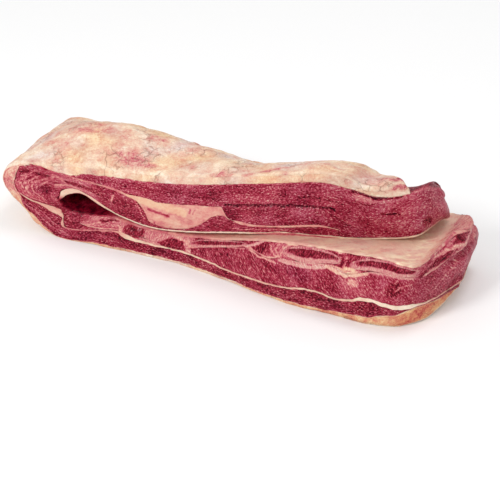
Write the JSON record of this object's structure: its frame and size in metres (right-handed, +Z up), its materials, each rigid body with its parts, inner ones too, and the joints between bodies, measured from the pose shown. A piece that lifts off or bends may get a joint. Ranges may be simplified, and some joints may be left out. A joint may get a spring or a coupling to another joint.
{
  "type": "raw beef plate ribs",
  "caption": "Slab of raw beef plate ribs folded once with its fat side out; layered meat, fat, rib ends and membrane show on the cut sides. Lies flat on a board or tray.",
  "frame": {"origin": "under the middle of the folded slab, on the surface that it lies on", "axes": "+X along the folded slab from its fold to its open ends, +Y from the long cut face in front to the back, +Z up"},
  "size_m": [0.4918, 0.1502, 0.1394],
  "materials": {
    "fat": "moist raw fat, cream with pink patches",
    "outer_meat": "moist raw red meat",
    "seam_fat": "moist salmon pink fat and white fascia",
    "deep_meat": "moist raw red meat with marbling",
    "membrane": "thin moist pale pink membrane",
    "bone": "sawn rib: pale rim round dark red marrow",
    "rib_meat": "moist raw red meat between the ribs",
    "rib_fat": "streaky pale pink fat and meat"
  },
  "bodies": {
    "root": {"fat_cap": "fat", "outer_muscle": "outer_meat", "seam_fat": "seam_fat", "deep_muscle": "deep_meat", "pleura": "membrane", "rib_1": "bone", "rib_2": "bone", "rib_3": "bone", "wedge_fat": "rib_fat", "intercostal_1": "rib_meat", "intercostal_2": "rib_fat", "intercostal_3": "rib_meat", "intercostal_4": "rib_meat", "intercostal_5": "rib_meat"}
  },
  "joints": []
}
